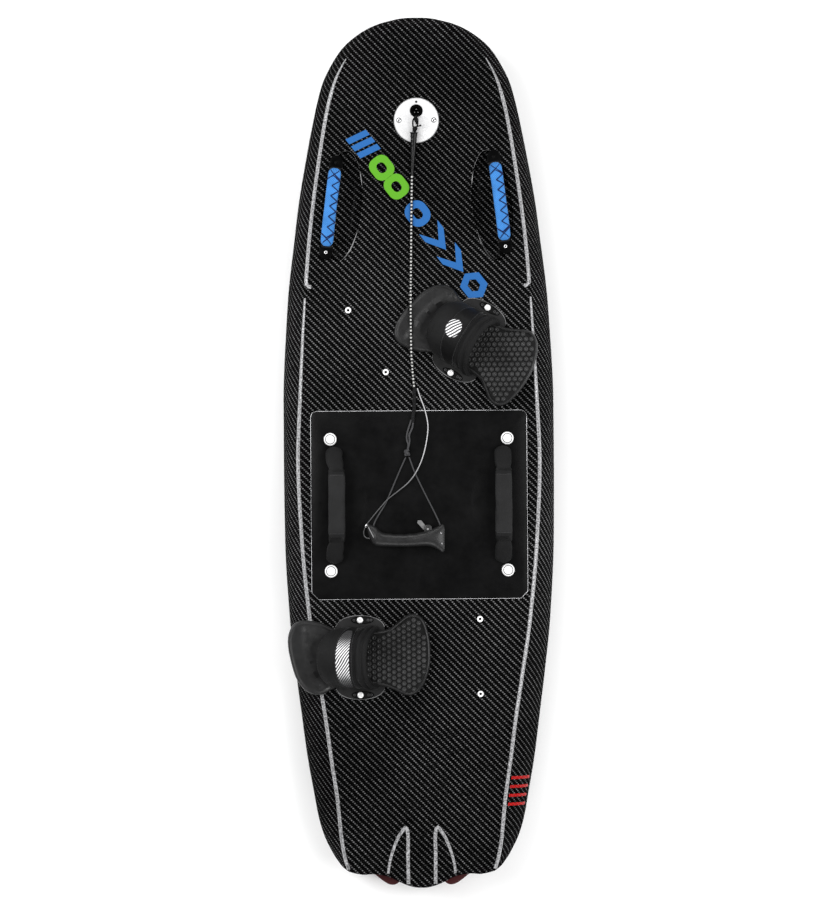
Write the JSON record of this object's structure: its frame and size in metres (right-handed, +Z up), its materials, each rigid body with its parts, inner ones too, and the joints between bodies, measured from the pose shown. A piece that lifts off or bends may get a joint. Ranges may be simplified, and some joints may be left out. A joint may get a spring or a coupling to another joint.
{
  "type": "electric jet surfboard",
  "caption": "Rigid electric jet surfboard with lift-out battery hatch, tethered throttle grip, carry handles, foot bindings, fins and a water-jet drive.",
  "frame": {"origin": "on the floor plane under the middle of the board's length and width", "axes": "+Y towards the nose, +X to starboard, +Z up from the bottom to the deck"},
  "size_m": [0.582, 1.85, 0.2378],
  "materials": {
    "carbon": "clear-coated woven carbon laminate",
    "black_plastic": "fine moulded texture",
    "battery_shell": "moulded",
    "rubber": "matt rubber",
    "grey_plastic": "moulded",
    "pad_foam": "moulded EVA foam",
    "strap_foam": "padded woven cover",
    "strap_cover": "soft cover with a glossy woven patch",
    "webbing": "woven webbing",
    "blue_cover": "neoprene sleeve with dark stitching",
    "rope": "braided, black with white flecks",
    "steel": "turned stainless",
    "aluminium": "anodised",
    "fin_red": "dark red glass laminate",
    "white_plastic": "moulded"
  },
  "bodies": {
    "hull": {"battery_bay": "black_plastic", "bay_connector": "grey_plastic", "bay_seal": "rubber", "bottom_shell": "carbon", "deck_shell": "carbon", "fin_left": "fin_red", "fin_right": "fin_red", "front_binding_base": "black_plastic", "front_binding_cover": "strap_cover", "front_binding_pad": "pad_foam", "front_binding_screw_0": "white_plastic", "front_binding_screw_1": "white_plastic", "front_binding_strap": "strap_foam", "handle_cover_left": "blue_cover", "handle_cover_right": "blue_cover", "handle_strap_left": "webbing", "handle_strap_right": "webbing", "insert_front_inner": "white_plastic", "insert_front_outer": "white_plastic", "insert_rear_back": "white_plastic", "insert_rear_front": "white_plastic", "intake_grate": "grey_plastic", "jet_nozzle": "aluminium", "motor_case": "aluminium", "motor_controller": "battery_shell", "motor_mount": "aluminium", "nose_plate": "steel", "power_socket": "black_plastic", "pump_duct": "aluminium", "pump_housing": "aluminium", "rear_binding_base": "black_plastic", "rear_binding_cover": "strap_cover", "rear_binding_pad": "pad_foam", "rear_binding_screw_0": "white_plastic", "rear_binding_screw_1": "white_plastic", "rear_binding_strap": "strap_foam", "shaft_tube": "steel", "stator": "aluminium", "tether_eye": "steel", "tether_hook": "black_plastic", "tether_rope_front": "rope", "tether_sleeve": "rubber"},
    "battery": {"hatch_lid": "black_plastic", "battery_case": "battery_shell", "lid_grip_left": "strap_foam", "lid_grip_right": "strap_foam", "tether_splice": "rubber", "tether_rope_rear": "rope", "bridle_left": "rope", "bridle_right": "rope", "throttle_cable": "grey_plastic", "hand_grip": "rubber"},
    "drive": {"drive_shaft": "steel", "motor_rotor": "steel", "impeller": "steel"},
    "trigger": {"throttle_trigger": "grey_plastic"},
    "latch_0": {"latch_knob_0": "steel"},
    "latch_1": {"latch_knob_1": "steel"},
    "latch_2": {"latch_knob_2": "steel"},
    "latch_3": {"latch_knob_3": "steel"}
  },
  "joints": [
    {"name": "battery_lift", "type": "slide", "parent": "hull", "child": "battery", "axis": [0, 0, 1], "range_m": [0, 0.2]},
    {"name": "drive_spin", "type": "hinge", "parent": "hull", "child": "drive", "pos_m": [0, -0.7, 0.078], "axis": [0, 1, 0], "continuous": true},
    {"name": "trigger_pull", "type": "hinge", "parent": "battery", "child": "trigger", "pos_m": [0.018, -0.1615, 0.1662], "axis": [0, 0, 1], "range_deg": [0, 20], "stiffness_Nm_per_rad": 0.05},
    {"name": "latch_0_turn", "type": "hinge", "parent": "battery", "child": "latch_0", "pos_m": [-0.188, 0.03, 0.15], "axis": [0, 0, 1], "range_deg": [0, 90]},
    {"name": "latch_1_turn", "type": "hinge", "parent": "battery", "child": "latch_1", "pos_m": [0.188, 0.03, 0.15], "axis": [0, 0, 1], "range_deg": [0, 90]},
    {"name": "latch_2_turn", "type": "hinge", "parent": "battery", "child": "latch_2", "pos_m": [-0.188, -0.25, 0.15], "axis": [0, 0, 1], "range_deg": [0, 90]},
    {"name": "latch_3_turn", "type": "hinge", "parent": "battery", "child": "latch_3", "pos_m": [0.188, -0.25, 0.15], "axis": [0, 0, 1], "range_deg": [0, 90]}
  ]
}
